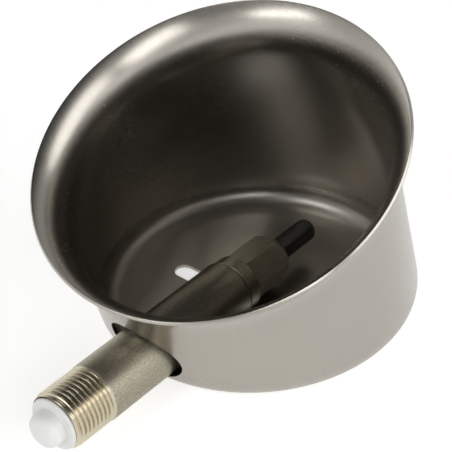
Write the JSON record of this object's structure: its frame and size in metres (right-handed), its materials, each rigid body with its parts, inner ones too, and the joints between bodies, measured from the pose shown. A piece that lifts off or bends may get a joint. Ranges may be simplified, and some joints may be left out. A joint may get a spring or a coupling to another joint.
{
  "type": "livestock drinking bowl",
  "caption": "Leaning round steel wall bowl with a flared lip; a push-pin water valve on a pipe runs in through the low wall.",
  "frame": {"origin": "on the flat wall face, at the middle of the base", "axes": "+Z out of the wall into the bowl; X along the valve, inlet at -X and pin at +X; the part is mirror-symmetric across Y"},
  "size_m": [0.1675, 0.1294, 0.0976],
  "materials": {
    "bowl_steel": "satin polished stainless",
    "valve_steel": "matte blasted stainless",
    "stem_steel": "turned stainless",
    "spring_wire": "drawn stainless wire",
    "screen_steel": "perforated stainless sheet",
    "pin_black": "satin black",
    "plug_plastic": "milky white polyethylene",
    "inner_plastic": "moulded nylon",
    "seal_rubber": "matte"
  },
  "bodies": {
    "fixture": {"bowl": "bowl_steel", "pipe_lugs": "bowl_steel", "valve_tube": "valve_steel", "head_gasket": "seal_rubber", "valve_head": "valve_steel", "seat_ring": "seal_rubber", "return_spring": "spring_wire", "spring_carrier": "inner_plastic", "flow_regulator": "inner_plastic", "regulator_ring": "seal_rubber", "strainer_frame": "inner_plastic", "strainer_screen": "screen_steel", "snap_ring": "spring_wire"},
    "follower": {"spring_follower": "inner_plastic"},
    "pin": {"valve_stem": "stem_steel", "pin_sleeve": "pin_black"},
    "plug": {"inlet_plug": "plug_plastic"}
  },
  "joints": [
    {"name": "pin_push", "type": "slide", "parent": "fixture", "child": "follower", "axis": [-1, 0, 0], "range_m": [0, 0.0025], "stiffness_N_per_m": 400, "springref_m": -0.01, "deforming": ["return_spring"]},
    {"name": "pin_tilt", "type": "hinge", "parent": "follower", "child": "pin", "pos_m": [-0.01967, 0, 0.01225], "axis": [0, 1, 0], "range_deg": [-2.5, 2.5], "stiffness_Nm_per_rad": 0.4},
    {"name": "plug_pull", "type": "slide", "parent": "fixture", "child": "plug", "axis": [-1, 0, 0], "range_m": [0, 0.012]}
  ]
}
